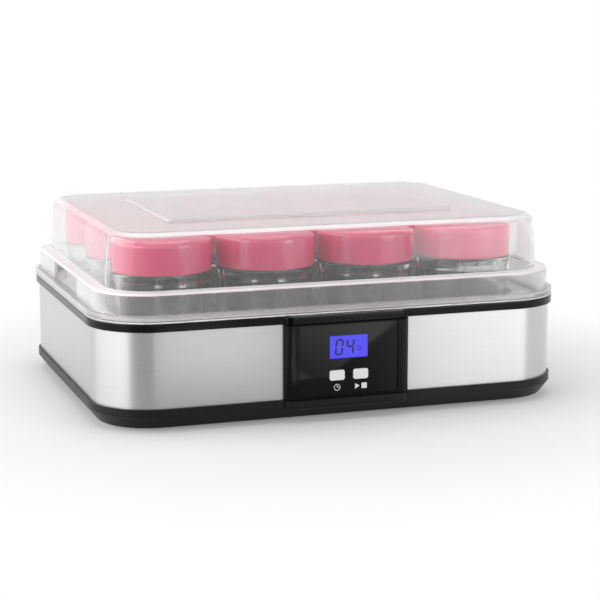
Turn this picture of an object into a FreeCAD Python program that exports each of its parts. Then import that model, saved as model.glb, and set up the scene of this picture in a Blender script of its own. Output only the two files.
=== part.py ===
import FreeCAD, Part
import math
import os

Vector = FreeCAD.Vector

# Yogurt maker for twelve jars: a heated tub in a steel-banded body, under a clear stepped lid.
# Millimetres, +Z up, origin on the table under the middle of the whole footprint, front towards -Y.

# Room from the tub's opening out to the steel band, and the band's corner radius
SIDE_ROOM = 18.5
FRONT_ROOM = 27.0
REAR_ROOM = 16.0
BODY_R = 42.0

# Heights of the outer bands, from the table up
FOOT_STAND = 2.0
BASE_H = 14.4
BAND_SHOWS = 52.6
RIM_H = 6.6

# Base tray
BASE_TUCK = 5.0
BASE_FLOOR = 2.5
BASE_WALL = 2.5
BASE_ROUND = 2.2
LIP_OUT = 1.7
LIP_H = 5.4
LIP_WALL = 2.0
RIB_T = 1.6
RIB_H = 4.0
RIB_COUNT = 4

# Steel band, tucked into a groove in the base and another in the rim
SHEET = 0.8
BAND_TUCK = 2.8
GROOVE_GAP = 0.15

# Top rim with the ledge that carries the tub
RIM_OUT = 2.2
RIM_IN = 4.8
RIM_ROUND = 2.0
LEDGE_GAP = 2.0
LEDGE_T = 1.6

# Posts under the rim and the screws that close the body from below
POST_R = 4.0
POST_GAP = 0.8
BOSS_R = 5.0
BOSS_TOP = 8.0
SCREW_R = 1.5
SCREW_HOLE_GAP = 0.2
SCREW_LENGTH = 20.0
SCREW_HEAD_R = 3.3
SCREW_HEAD_H = 2.2
COUNTERBORE_GAP = 0.45
COUNTERBORE_DEPTH = 4.0
PILOT_SPARE = 2.0

# Rubber feet
FOOT_R = 9.0
FOOT_RECESS = 1.0
FOOT_GAP = 0.2
FOOT_IN_X = 40.0
FOOT_IN_Y = 45.0
FOOT_BEVEL = 0.6

# Jars and their places in the tub
JAR_COLUMNS = 4
JAR_ROWS = 3
CAP_GAP_X = 5.0
CAP_GAP_Y = 1.5
JAR_SHY = 2.0
JAR_H = 87.4
JAR_WALL = 3.0
JAR_FLOOR = 4.5
JAR_BEVEL = 4.5
BEAD_SHY = 0.3
BEAD_H = 5.0
NECK_SHOWS = 0.6
THREAD_GAP = 0.7

# Screw caps
CAP_R = 35.5
CAP_H = 23.6
CAP_WALL = 2.2
CAP_TOP = 2.4
CAP_BEVEL = 2.6
CAP_SEAT_GAP = 0.2

# Tub
TUB_WALL = 2.0
TUB_DEPTH = 38.1
TUB_SIDE_GAP = 4.0
TUB_DRAFT = 1.5
TUB_R = 37.0
TUB_FILLET = 2.5
DECK_T = 2.0
DECK_GAP = 0.2

# Heater under the tub floor
PLATE_T = 1.5
PLATE_MARGIN_X = 40.0
PLATE_MARGIN_Y = 30.0
PLATE_R = 14.0
CORD_R = 2.0
CORD_RUNS = 4
CORD_SIDE = 10.0
CORD_END_MARGIN = 4.0
CORD_GAP = 0.15
STRAP_T = 0.8
STRAP_W = 9.0
STRAP_TAB = 6.0
STRAP_COUNT = 3
STRAP_STEP = 70.0

# Splices and leads of the heater
SPLICE_R = 3.0
SPLICE_L = 16.0
SPLICE_GRIP = 8.0
SPLICE_CLEAR = 1.0
LEAD_R = 1.2
LEAD_BEND = 8.0
LEAD_DROP_BEND = 4.0
LEAD_OUT = 11.5
LEAD_SPACING = 8.0
LEAD_ROW_BACK = 17.0

# Temperature sensor and thermal cut-off, strapped under the tub floor
SENSOR_R = 2.5
SENSOR_L = 22.0
SENSOR_X = 62.0
CUTOFF_R = 2.2
CUTOFF_L = 12.0
CUTOFF_X = -80.0
PROBE_ROW_BACK = 27.0
SENSOR_LEAD_X = 36.0

# Console at the front
CONSOLE_W = 91.0
CONSOLE_PROUD = 7.0
CONSOLE_R = 6.4
CONSOLE_HEAD_H = 5.4
CONSOLE_FOOT_H = 6.8
CONSOLE_ROUND = 2.0
CONSOLE_DEEP = 11.0
PILLAR_W = 9.5
PANEL_GAP = 0.1
SHOULDER = 2.5
NECK_GAP = 0.3
PANEL_BACK_T = 2.0
PANEL_FRAME = 3.0
PANEL_SILL = 1.5

# Window of the console
WINDOW_T = 2.0
WINDOW_SET = 1.0
WINDOW_GAP = 0.15
WINDOW_R = 2.0

# Display
LCD_W = 28.0
LCD_H = 16.0
LCD_DROP = 17.4
LCD_SET = 0.3
LCD_GAP = 0.2
LCD_FLANGE = 2.0
LCD_FLANGE_T = 1.5
LCD_FRAME_WALL = 1.5

# Buttons
BUTTON_W = 11.0
BUTTON_H = 7.2
BUTTON_R = 1.6
BUTTON_X = 8.6
BUTTON_RISE = 15.5
BUTTON_PROUD = 0.8
BUTTON_GAP = 0.3
BUTTON_FLANGE = 1.5
BUTTON_FLANGE_T = 1.0
BUTTON_STEM_R = 2.0
BUTTON_STEM_L = 0.5
BUTTON_EDGE = 0.6

# Control board with its two switches
BOARD_SIDE_IN = 5.7
BOARD_END_IN = 4.2
BOARD_T = 1.6
BOARD_BOSS_R = 2.8
BOARD_BOSS_IN = 3.6
BOARD_SCREW_R = 1.1
BOARD_SCREW_L = 6.0
BOARD_HEAD_R = 2.1
BOARD_HEAD_H = 1.4
BOARD_HOLE_GAP = 0.15
SWITCH_W = 6.0
SWITCH_T = 2.8
PLUNGER_R = 1.6
PLUNGER_L = 0.5

# Power board on the base floor
POWER_W = 90.0
POWER_D = 42.0
POWER_Z = 10.0
POWER_AHEAD = 14.5
POWER_SCREW_IN = 4.0
RELAY_SIZE = (19.0, 15.0, 15.0)
RELAY_AT = (-10.0, 31.0)
CAPACITOR_SIZE = (18.0, 9.0, 14.0)
CAPACITOR_AT = (17.0, 36.0)
CAPACITOR_ROUND = 2.0
TERMINAL_SIZE = (18.0, 22.0, 12.0)
TERMINAL_X = -32.0
TERMINAL_ENTRY_R = 1.5
TERMINAL_ENTRY_DEEP = 5.0

# Flat cable between the two boards
RIBBON_W = 14.0
RIBBON_T = 1.0
RIBBON_BEND = 5.0
RIBBON_ON = 1.0
RIBBON_RISE = 14.4

# Gland of the supply cord in the back of the steel band
GLAND_R = 5.8
GLAND_GAP = 0.2
GLAND_FLANGE_R = 7.6
GLAND_FLANGE_T = 1.6
GLAND_BORE_R = 3.3
GLAND_TAIL_R = 5.0
GLAND_TAIL_L = 6.0
GLAND_RISE = 13.6

# Lid
LID_WALL = 2.0
LID_FLANGE_OUT = 0.8
LID_FLANGE_H = 3.9
LID_SKIRT_IN = 1.8
LID_SKIRT_H = 14.8
LID_SKIRT_ROUND = 1.8
LID_DOME_IN = 10.5
LID_HEADROOM = 6.5
LID_CAP_GAP = 3.3
LID_DOME_ROUND = 7.5
LID_LOCATE_GAP = 0.4
LID_LOCATE_H = 1.8
FIELD_W = 216.0
FIELD_D = 130.0
FIELD_R = 4.0
FIELD_H = 2.0
GRIP_L = 77.0
GRIP_DEEP = 9.0

# Jar grid, tub and body outline, worked out from the sizes above
JAR_R = CAP_R - JAR_SHY
PITCH_X = 2 * CAP_R + CAP_GAP_X
PITCH_Y = 2 * CAP_R + CAP_GAP_Y
TUB_W = (JAR_COLUMNS - 1) * PITCH_X + 2 * (JAR_R + TUB_SIDE_GAP)
TUB_D = (JAR_ROWS - 1) * PITCH_Y + 2 * (JAR_R + TUB_SIDE_GAP)
BODY_W = TUB_W + 2 * SIDE_ROOM
BODY_D = TUB_D + FRONT_ROOM + REAR_ROOM
BODY_Y = (CONSOLE_PROUD - RIM_OUT) / 2
FRONT_Y = BODY_Y - BODY_D / 2
REAR_Y = BODY_Y + BODY_D / 2
GRID_Y = BODY_Y + (FRONT_ROOM - REAR_ROOM) / 2
TUB_FRONT_Y = GRID_Y - TUB_D / 2
GROOVE_IN = SHEET + GROOVE_GAP
LEDGE_IN = REAR_ROOM - TUB_WALL - LEDGE_GAP
POST_IN = SIDE_ROOM - TUB_WALL - POST_GAP - POST_R

# Levels of the body
BASE_Z = FOOT_STAND
FLOOR_Z = BASE_Z + BASE_FLOOR
BOSS_Z = BASE_Z + BOSS_TOP
LIP_Z = BASE_Z + BASE_H
RIM_Z = LIP_Z + BAND_SHOWS
RIM_TOP = RIM_Z + RIM_H
LEDGE_Z = RIM_Z + LEDGE_T
DECK_Z = LEDGE_Z + DECK_T
SEAT_Z = DECK_Z - TUB_DEPTH
TUB_UNDER = SEAT_Z - TUB_WALL
GLAND_Z = LIP_Z + GLAND_RISE

# Jars, caps and the lid over them
NECK_R = CAP_R - CAP_WALL - THREAD_GAP
NECK_H = CAP_H - CAP_TOP - CAP_SEAT_GAP + NECK_SHOWS
BEAD_R = CAP_R - BEAD_SHY
JAR_TOP = SEAT_Z + JAR_H
CAP_HIGH = JAR_TOP + CAP_SEAT_GAP + CAP_TOP
CAP_LOW = CAP_HIGH - CAP_H
SKIRT_Z = RIM_TOP + LID_FLANGE_H
STEP_Z = SKIRT_Z + LID_SKIRT_H
DOME_Z = CAP_HIGH + LID_HEADROOM + LID_WALL
DOME_TOP_IN = REAR_ROOM + TUB_SIDE_GAP + JAR_R - CAP_R - LID_CAP_GAP - LID_WALL

# Heater
PLATE_W = TUB_W - 2 * PLATE_MARGIN_X
PLATE_D = TUB_D - 2 * PLATE_MARGIN_Y
PLATE_Z = TUB_UNDER - PLATE_T
CORD_Z = PLATE_Z - CORD_R - CORD_GAP
CORD_PITCH = (PLATE_D - 2 * CORD_SIDE) / (CORD_RUNS - 1)
CORD_HALF = PLATE_W / 2 - CORD_PITCH / 2 - CORD_R - CORD_END_MARGIN
CORD_END_X = -PLATE_W / 2 - SPLICE_CLEAR - SPLICE_GRIP
CORD_FIRST_Y = GRID_Y - PLATE_D / 2 + CORD_SIDE
CORD_LAST_Y = GRID_Y + PLATE_D / 2 - CORD_SIDE
SPLICE_END_X = CORD_END_X + SPLICE_GRIP - SPLICE_L
LEAD_IN_X = SPLICE_END_X - LEAD_OUT
LEAD_OUT_X = LEAD_IN_X - LEAD_SPACING

# Console, from its front backwards
PANEL_LOW = LIP_Z + PANEL_GAP
PANEL_HIGH = RIM_Z - PANEL_GAP
PANEL_HALF = CONSOLE_W / 2
NECK_HALF = PANEL_HALF - SHOULDER - NECK_GAP
WINDOW_HALF = PANEL_HALF - PILLAR_W
CONSOLE_Y = FRONT_Y - CONSOLE_PROUD
WINDOW_Y = CONSOLE_Y + WINDOW_SET
BACK_Y = WINDOW_Y + WINDOW_T
BACK_REAR_Y = BACK_Y + PANEL_BACK_T
BOARD_Y = CONSOLE_Y + CONSOLE_DEEP
BOARD_REAR_Y = BOARD_Y + BOARD_T
BOARD_W = 2 * (NECK_HALF - BOARD_SIDE_IN)
BOARD_H = PANEL_HIGH - PANEL_LOW - 2 * BOARD_END_IN
BOARD_MID_Z = (PANEL_LOW + PANEL_HIGH) / 2
LCD_Z = PANEL_HIGH - LCD_DROP
BUTTON_Z = PANEL_LOW + BUTTON_RISE

# Power board and the rows of parts behind it
POWER_Y = TUB_FRONT_Y - POWER_AHEAD
POWER_TOP = POWER_Z + BOARD_T
PROBE_Y = POWER_Y + PROBE_ROW_BACK
LEAD_ROW = POWER_Y + LEAD_ROW_BACK
TERMINAL_AT = (TERMINAL_X, (PROBE_ROW_BACK + LEAD_ROW_BACK) / 2)

UP = Vector(0, 0, 1)
BACK = Vector(0, 1, 0)
RIGHT = Vector(1, 0, 0)

# Edges this near a plane count as lying in it
IN_PLANE = 1e-6


def rounded(width, depth, radius, z, y):
    """Wire of a level rectangle with round corners, centred on x = 0 and the given y."""
    x = width / 2 - radius
    d = depth / 2 - radius
    corners = [(x, d, 0), (-x, d, 90), (-x, -d, 180), (x, -d, 270)]
    arcs = []
    for corner_x, corner_y, start in corners:
        circle = Part.Circle(Vector(corner_x, y + corner_y, z), UP, radius)
        arc = Part.ArcOfCircle(circle, math.radians(start), math.radians(start + 90))
        arcs.append(arc.toShape())
    edges = []
    for here, there in zip(arcs, arcs[1:] + arcs[:1]):
        edges.append(here)
        edges.append(Part.makeLine(here.lastVertex().Point, there.firstVertex().Point))
    return Part.Wire(edges)


def body_outline(inset, z):
    """The body's outline at height z, moved inwards by inset."""
    return rounded(BODY_W - 2 * inset, BODY_D - 2 * inset, BODY_R - inset, z, BODY_Y)


def prism(wire, height):
    return Part.Face(wire).extrude(Vector(0, 0, height))


def frustum(low, high):
    return Part.makeLoft([low, high], True, True)


def block(x0, x1, y0, y1, z0, z1):
    return Part.makeBox(x1 - x0, y1 - y0, z1 - z0, Vector(x0, y0, z0))


def rod(radius, start, direction, length):
    return Part.makeCylinder(radius, length, start, direction)


def revolved(profile, centre):
    """Solid of revolution about a vertical axis, from a list of (radius, height) points."""
    points = [centre + Vector(r, 0, z) for r, z in profile]
    face = Part.Face(Part.makePolygon(points + points[:1]))
    return face.revolve(centre, UP, 360)


def upright(width, height, radius, x, z, y0, y1):
    """A plate that stands across the front, with round corners, from y0 back to y1."""
    flat = prism(rounded(width, height, radius, 0, 0), y1 - y0)
    flat.rotate(Vector(0, 0, 0), RIGHT, 90)
    flat.translate(Vector(x, y1, z))
    return flat


def level_edges(shape, z):
    """Edges that lie wholly at height z."""
    return [
        edge
        for edge in shape.Edges
        if abs(edge.BoundBox.ZMin - z) < IN_PLANE and abs(edge.BoundBox.ZMax - z) < IN_PLANE
    ]


def tube(points, radius, bends):
    """Round wire through the points, with a tangent arc of its own radius at each corner."""
    edges = []
    start = points[0]
    for before, corner, after, bend in zip(points, points[1:], points[2:], bends):
        inward = (before - corner).normalize()
        onward = (after - corner).normalize()
        half = inward.getAngle(onward) / 2
        reach = bend / math.tan(half)
        middle = (inward + onward).normalize()
        touch_in = corner + inward * reach
        touch_out = corner + onward * reach
        crown = corner + middle * (bend / math.sin(half) - bend)
        edges.append(Part.makeLine(start, touch_in))
        edges.append(Part.Arc(touch_in, crown, touch_out).toShape())
        start = touch_out
    edges.append(Part.makeLine(start, points[-1]))
    circle = Part.Circle(points[0], points[1] - points[0], radius)
    return Part.Wire(edges).makePipeShell([Part.Wire(circle.toShape())], True, False)


def strap(centres, rod_r, top_z, x, width):
    """Metal strap against a flat underside at top_z, arched round rods that run along X."""
    channel = rod_r + CORD_GAP
    rod_z = top_z - channel
    reach = channel + STRAP_T
    low_y = min(centres) - reach - STRAP_TAB
    high_y = max(centres) + reach + STRAP_TAB
    shape = block(x, x + width, low_y, high_y, top_z - STRAP_T, top_z)
    for y in centres:
        shape = shape.fuse(rod(reach, Vector(x, y, rod_z), RIGHT, width))
        shape = shape.fuse(block(x, x + width, y - reach, y + reach, rod_z, top_z))
    for y in centres:
        shape = shape.cut(rod(channel, Vector(x, y, rod_z), RIGHT, width))
        shape = shape.cut(block(x, x + width, y - channel, y + channel, rod_z, top_z))
    above = block(x, x + width, low_y, high_y, top_z, top_z + reach)
    return shape.cut(above).removeSplitter()


def post_places():
    """Centres of the six posts, all the same distance in from the band."""
    places = []
    diagonal = (BODY_R - POST_IN) * math.sqrt(0.5)
    corner_x = BODY_W / 2 - BODY_R + diagonal
    corner_y = BODY_D / 2 - BODY_R + diagonal
    for side in (-1, 1):
        for end in (-1, 1):
            places.append((side * corner_x, BODY_Y + end * corner_y))
        places.append((side * (BODY_W / 2 - POST_IN), BODY_Y))
    return places


def foot_places():
    x = BODY_W / 2 - FOOT_IN_X
    y = BODY_D / 2 - FOOT_IN_Y
    return [(side * x, BODY_Y + end * y) for side in (-1, 1) for end in (-1, 1)]


def power_screw_places():
    x = POWER_W / 2 - POWER_SCREW_IN
    near = POWER_Y + POWER_SCREW_IN
    far = POWER_Y + POWER_D - POWER_SCREW_IN
    return [(side * x, y) for side in (-1, 1) for y in (near, far)]


def board_screw_places():
    x = BOARD_W / 2 - BOARD_BOSS_IN
    z = BOARD_H / 2 - BOARD_BOSS_IN
    return [(side * x, BOARD_MID_Z + end * z) for side in (-1, 1) for end in (-1, 1)]


def jar_places():
    """Jar centres, row by row from the front left."""
    left = -(JAR_COLUMNS - 1) * PITCH_X / 2
    front = GRID_Y - (JAR_ROWS - 1) * PITCH_Y / 2
    return [
        Vector(left + column * PITCH_X, front + row * PITCH_Y, SEAT_Z)
        for row in range(JAR_ROWS)
        for column in range(JAR_COLUMNS)
    ]


def console_plan(z, height, rear_y):
    """Block of the console's plan: flat front with a large round at each end."""
    front = [
        Vector(-PANEL_HALF, CONSOLE_Y + CONSOLE_R, z),
        Vector(-PANEL_HALF + CONSOLE_R, CONSOLE_Y, z),
        Vector(PANEL_HALF - CONSOLE_R, CONSOLE_Y, z),
        Vector(PANEL_HALF, CONSOLE_Y + CONSOLE_R, z),
    ]
    rear = [Vector(PANEL_HALF, rear_y, z), Vector(-PANEL_HALF, rear_y, z)]
    offset = CONSOLE_R * (1 - math.sqrt(0.5))
    left_mid = Vector(-PANEL_HALF + offset, CONSOLE_Y + offset, z)
    right_mid = Vector(PANEL_HALF - offset, CONSOLE_Y + offset, z)
    edges = [
        Part.Arc(front[0], left_mid, front[1]).toShape(),
        Part.makeLine(front[1], front[2]),
        Part.Arc(front[2], right_mid, front[3]).toShape(),
        Part.makeLine(front[3], rear[0]),
        Part.makeLine(rear[0], rear[1]),
        Part.makeLine(rear[1], front[0]),
    ]
    return prism(Part.Wire(edges), height)


def front_edges(shape, z):
    """Edges at height z that lie in front of the body's face."""
    return [edge for edge in level_edges(shape, z) if edge.BoundBox.YMax < FRONT_Y]


def groove(z, height):
    """Ring-shaped room for the edge of the steel band."""
    return prism(body_outline(-GROOVE_GAP, z), height).cut(prism(body_outline(GROOVE_IN, z), height))


def base_tray():
    lip_low = LIP_Z - LIP_H
    under = frustum(body_outline(BASE_TUCK, BASE_Z), body_outline(-LIP_OUT, lip_low))
    under = under.makeFillet(BASE_ROUND, level_edges(under, BASE_Z))
    foot = console_plan(LIP_Z - CONSOLE_FOOT_H, CONSOLE_FOOT_H, FRONT_Y + BASE_TUCK)
    foot = foot.makeFillet(CONSOLE_ROUND, front_edges(foot, LIP_Z - CONSOLE_FOOT_H))
    tray = under.fuse([prism(body_outline(-LIP_OUT, lip_low), LIP_H), foot])
    hollow = frustum(
        body_outline(BASE_TUCK + BASE_WALL, FLOOR_Z), body_outline(GROOVE_IN + LIP_WALL, LIP_Z)
    )
    tray = tray.cut([hollow, groove(LIP_Z - BAND_TUCK - GROOVE_GAP, BAND_TUCK + GROOVE_GAP)])
    ribs = []
    step = BODY_D / (RIB_COUNT + 1)
    for number in range(RIB_COUNT):
        y = FRONT_Y + (number + 1) * step
        ribs.append(block(-BODY_W / 2, BODY_W / 2, y, y + RIB_T, FLOOR_Z, FLOOR_Z + RIB_H))
    raised = [rib.common(hollow) for rib in ribs]
    raised += [rod(BOSS_R, Vector(x, y, FLOOR_Z), UP, BOSS_Z - FLOOR_Z) for x, y in post_places()]
    power_places = power_screw_places()
    raised += [rod(BOARD_BOSS_R, Vector(x, y, FLOOR_Z), UP, POWER_Z - FLOOR_Z) for x, y in power_places]
    tray = tray.fuse(raised)
    holes = []
    for x, y in post_places():
        at = Vector(x, y, BASE_Z)
        holes.append(rod(SCREW_HEAD_R + COUNTERBORE_GAP, at, UP, COUNTERBORE_DEPTH))
        holes.append(rod(SCREW_R + SCREW_HOLE_GAP, at, UP, BOSS_TOP))
    for x, y in foot_places():
        holes.append(rod(FOOT_R + FOOT_GAP, Vector(x, y, BASE_Z), UP, FOOT_RECESS))
    for x, y in power_places:
        hole_r = BOARD_SCREW_R + BOARD_HOLE_GAP
        deep = BOARD_SCREW_L - BOARD_T + BOARD_HOLE_GAP
        holes.append(rod(hole_r, Vector(x, y, POWER_Z - deep), UP, deep))
    return tray.cut(holes).removeSplitter()


def foot_pads():
    pads = []
    for x, y in foot_places():
        height = FOOT_STAND + FOOT_RECESS
        profile = [(0, 0), (FOOT_R - FOOT_BEVEL, 0), (FOOT_R, FOOT_BEVEL), (FOOT_R, height), (0, height)]
        pads.append(revolved(profile, Vector(x, y, 0)))
    return Part.Compound(pads)


def steel_band():
    low = LIP_Z - BAND_TUCK
    height = BAND_SHOWS + 2 * BAND_TUCK
    sheet = prism(body_outline(0, low), height).cut(prism(body_outline(SHEET, low), height))
    half = PANEL_HALF - SHOULDER
    opening = block(-half, half, FRONT_Y - SHEET, FRONT_Y + 2 * SHEET, low, low + height)
    hole = rod(GLAND_R + GLAND_GAP, Vector(0, REAR_Y - 2 * SHEET, GLAND_Z), BACK, 3 * SHEET)
    return sheet.cut([opening, hole])


def top_rim():
    ring = prism(body_outline(-RIM_OUT, RIM_Z), RIM_H)
    ring = ring.makeFillet(RIM_ROUND, level_edges(ring, RIM_TOP))
    head = console_plan(RIM_Z, CONSOLE_HEAD_H, FRONT_Y + RIM_IN)
    head = head.makeFillet(CONSOLE_ROUND, front_edges(head, RIM_Z + CONSOLE_HEAD_H))
    ring = ring.fuse(head)
    ring = ring.cut(
        [
            prism(body_outline(RIM_IN, LEDGE_Z), RIM_TOP - LEDGE_Z),
            prism(body_outline(LEDGE_IN, RIM_Z), LEDGE_T),
            groove(RIM_Z, BAND_TUCK + GROOVE_GAP),
        ]
    )
    posts = []
    pilots = []
    pilot_deep = SCREW_LENGTH - BOSS_TOP + COUNTERBORE_DEPTH + PILOT_SPARE
    for x, y in post_places():
        at = Vector(x, y, BOSS_Z)
        posts.append(rod(POST_R, at, UP, LEDGE_Z - BOSS_Z))
        pilots.append(rod(SCREW_R + SCREW_HOLE_GAP, at, UP, pilot_deep))
    return ring.fuse(posts).cut(pilots).removeSplitter()


def base_screws():
    screws = []
    for x, y in post_places():
        seat = BASE_Z + COUNTERBORE_DEPTH
        head = rod(SCREW_HEAD_R, Vector(x, y, seat - SCREW_HEAD_H), UP, SCREW_HEAD_H)
        screws.append(head.fuse(rod(SCREW_R, Vector(x, y, seat), UP, SCREW_LENGTH)).removeSplitter())
    return Part.Compound(screws)


def tub_form(inset, low, high):
    """Drafted block of the tub's opening, moved inwards by inset, from height low to high."""
    taper = TUB_DRAFT / TUB_DEPTH
    wires = []
    for z in (low, high):
        at = inset + taper * (DECK_Z - z)
        wires.append(rounded(TUB_W - 2 * at, TUB_D - 2 * at, TUB_R - at, z, GRID_Y))
    return frustum(*wires)


def inner_tub():
    pan = tub_form(-TUB_WALL, TUB_UNDER, DECK_Z)
    pan = pan.makeChamfer(TUB_FILLET, level_edges(pan, TUB_UNDER))
    deck = prism(body_outline(RIM_IN + DECK_GAP, LEDGE_Z), DECK_T)
    well = tub_form(0, SEAT_Z, DECK_Z)
    well = well.makeFillet(TUB_FILLET, level_edges(well, SEAT_Z))
    return pan.fuse(deck).cut(well).removeSplitter()


def heat_plate():
    return prism(rounded(PLATE_W, PLATE_D, PLATE_R, PLATE_Z, GRID_Y), PLATE_T)


def cord_rows():
    return [CORD_FIRST_Y + run * CORD_PITCH for run in range(CORD_RUNS)]


def heater_cord():
    """One cord laid to and fro under the plate, with both ends past its left edge."""
    rows = cord_rows()
    points = [Vector(CORD_END_X, rows[0], CORD_Z)]
    edges = []
    for run, y in enumerate(rows[:-1]):
        side = 1 if run % 2 == 0 else -1
        turn_in = Vector(side * CORD_HALF, y, CORD_Z)
        turn_out = turn_in + BACK * CORD_PITCH
        crown = (turn_in + turn_out) / 2 + RIGHT * (side * CORD_PITCH / 2)
        edges.append(Part.makeLine(points[-1], turn_in))
        edges.append(Part.Arc(turn_in, crown, turn_out).toShape())
        points.append(turn_out)
    edges.append(Part.makeLine(points[-1], Vector(CORD_END_X, rows[-1], CORD_Z)))
    circle = Part.Circle(points[0], RIGHT, CORD_R)
    return Part.Wire(edges).makePipeShell([Part.Wire(circle.toShape())], True, False)


def heater_straps():
    first = -(STRAP_COUNT - 1) * STRAP_STEP / 2 - STRAP_W / 2
    straps = [
        strap(cord_rows(), CORD_R, PLATE_Z, first + number * STRAP_STEP, STRAP_W)
        for number in range(STRAP_COUNT)
    ]
    return Part.Compound(straps)


def lead_splices():
    sleeves = []
    for y in (CORD_FIRST_Y, CORD_LAST_Y):
        at = Vector(SPLICE_END_X, y, CORD_Z)
        sleeve = rod(SPLICE_R, at, RIGHT, SPLICE_L)
        bore = rod(CORD_R + CORD_GAP, Vector(CORD_END_X, y, CORD_Z), RIGHT, SPLICE_GRIP)
        sleeves.append(sleeve.cut(bore))
    return Part.Compound(sleeves)


def power_point(at):
    """Point on the power board's top, from its place as (x, distance back from the board's front)."""
    return Vector(at[0], POWER_Y + at[1], POWER_TOP)


def lead_entries():
    """Bottoms of the two wire entries in the terminal block."""
    entry_z = POWER_TOP + TERMINAL_SIZE[2] - TERMINAL_ENTRY_DEEP
    middle = power_point(TERMINAL_AT)
    return Vector(middle.x, PROBE_Y, entry_z), Vector(middle.x, LEAD_ROW, entry_z)


def cutoff_z():
    return TUB_UNDER - CUTOFF_R - CORD_GAP


def heater_leads():
    first, second = lead_entries()
    cutoff_end = CUTOFF_X + CUTOFF_L
    to_cutoff = [
        Vector(SPLICE_END_X, CORD_FIRST_Y, CORD_Z),
        Vector(LEAD_IN_X, CORD_FIRST_Y, CORD_Z),
        Vector(LEAD_IN_X, PROBE_Y, cutoff_z()),
        Vector(CUTOFF_X, PROBE_Y, cutoff_z()),
    ]
    from_cutoff = [
        Vector(cutoff_end, PROBE_Y, cutoff_z()),
        Vector(first.x, PROBE_Y, cutoff_z()),
        first,
    ]
    from_rear = [
        Vector(SPLICE_END_X, CORD_LAST_Y, CORD_Z),
        Vector(LEAD_OUT_X, CORD_LAST_Y, CORD_Z),
        Vector(LEAD_OUT_X, LEAD_ROW, CORD_Z),
        Vector(second.x, LEAD_ROW, CORD_Z),
        second,
    ]
    return Part.Compound(
        [
            tube(to_cutoff, LEAD_R, [LEAD_BEND, LEAD_BEND]),
            tube(from_cutoff, LEAD_R, [LEAD_DROP_BEND]),
            tube(from_rear, LEAD_R, [LEAD_BEND, LEAD_BEND, LEAD_DROP_BEND]),
        ]
    )


def thermal_cutoff():
    return rod(CUTOFF_R, Vector(CUTOFF_X, PROBE_Y, cutoff_z()), RIGHT, CUTOFF_L)


def cutoff_clip():
    x = CUTOFF_X + (CUTOFF_L - STRAP_W) / 2
    return strap([PROBE_Y], CUTOFF_R, TUB_UNDER, x, STRAP_W)


def sensor_z():
    return TUB_UNDER - SENSOR_R - CORD_GAP


def temperature_sensor():
    """Metal sleeve with a domed tip."""
    sleeve = rod(SENSOR_R, Vector(SENSOR_X, PROBE_Y, sensor_z()), RIGHT, SENSOR_L - SENSOR_R)
    tip = Part.makeSphere(SENSOR_R, Vector(SENSOR_X + SENSOR_L - SENSOR_R, PROBE_Y, sensor_z()))
    return sleeve.fuse(tip).removeSplitter()


def sensor_clip():
    x = SENSOR_X + (SENSOR_L - STRAP_W) / 2
    return strap([PROBE_Y], SENSOR_R, TUB_UNDER, x, STRAP_W)


def sensor_lead():
    points = [
        Vector(SENSOR_X, PROBE_Y, sensor_z()),
        Vector(SENSOR_LEAD_X, PROBE_Y, sensor_z()),
        Vector(SENSOR_LEAD_X, PROBE_Y, POWER_TOP),
    ]
    return tube(points, LEAD_R, [LEAD_BEND])


def button_places():
    return {"time_button": -BUTTON_X, "start_button": BUTTON_X}


def control_panel():
    height = PANEL_HIGH - PANEL_LOW
    shoulders = console_plan(PANEL_LOW, height, FRONT_Y - PANEL_GAP)
    neck = block(-NECK_HALF, NECK_HALF, FRONT_Y - PANEL_GAP, BOARD_Y, PANEL_LOW, PANEL_HIGH)
    panel = shoulders.fuse(neck)
    recess_h = height - 2 * PANEL_SILL
    recess = upright(2 * WINDOW_HALF, recess_h, WINDOW_R, 0, BOARD_MID_Z, CONSOLE_Y, BACK_Y)
    hollow = block(
        -NECK_HALF + PANEL_FRAME,
        NECK_HALF - PANEL_FRAME,
        BACK_REAR_Y,
        BOARD_Y,
        PANEL_LOW + PANEL_FRAME,
        PANEL_HIGH - PANEL_FRAME,
    )
    panel = panel.cut([recess, hollow] + front_openings(BACK_Y, BACK_REAR_Y))
    bosses = []
    pilots = []
    for x, z in board_screw_places():
        bosses.append(rod(BOARD_BOSS_R, Vector(x, BACK_REAR_Y, z), BACK, BOARD_Y - BACK_REAR_Y))
        deep = BOARD_SCREW_L - BOARD_T + BOARD_HOLE_GAP
        hole_r = BOARD_SCREW_R + BOARD_HOLE_GAP
        pilots.append(rod(hole_r, Vector(x, BOARD_Y - deep, z), BACK, deep))
    return panel.fuse(bosses).cut(pilots).removeSplitter()


def front_openings(y0, y1):
    """Openings for the display and the buttons through a plate from y0 to y1."""
    openings = [block(-LCD_W / 2, LCD_W / 2, y0, y1, LCD_Z - LCD_H / 2, LCD_Z + LCD_H / 2)]
    for x in button_places().values():
        width = BUTTON_W + 2 * BUTTON_GAP
        height = BUTTON_H + 2 * BUTTON_GAP
        openings.append(upright(width, height, BUTTON_R + BUTTON_GAP, x, BUTTON_Z, y0, y1))
    return openings


def panel_window():
    width = 2 * (WINDOW_HALF - WINDOW_GAP)
    height = PANEL_HIGH - PANEL_LOW - 2 * (PANEL_SILL + WINDOW_GAP)
    plate = upright(width, height, WINDOW_R - WINDOW_GAP, 0, BOARD_MID_Z, WINDOW_Y, BACK_Y)
    return plate.cut(front_openings(WINDOW_Y, BACK_Y))


def lcd_flange_y():
    return BACK_REAR_Y + PANEL_GAP


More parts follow.
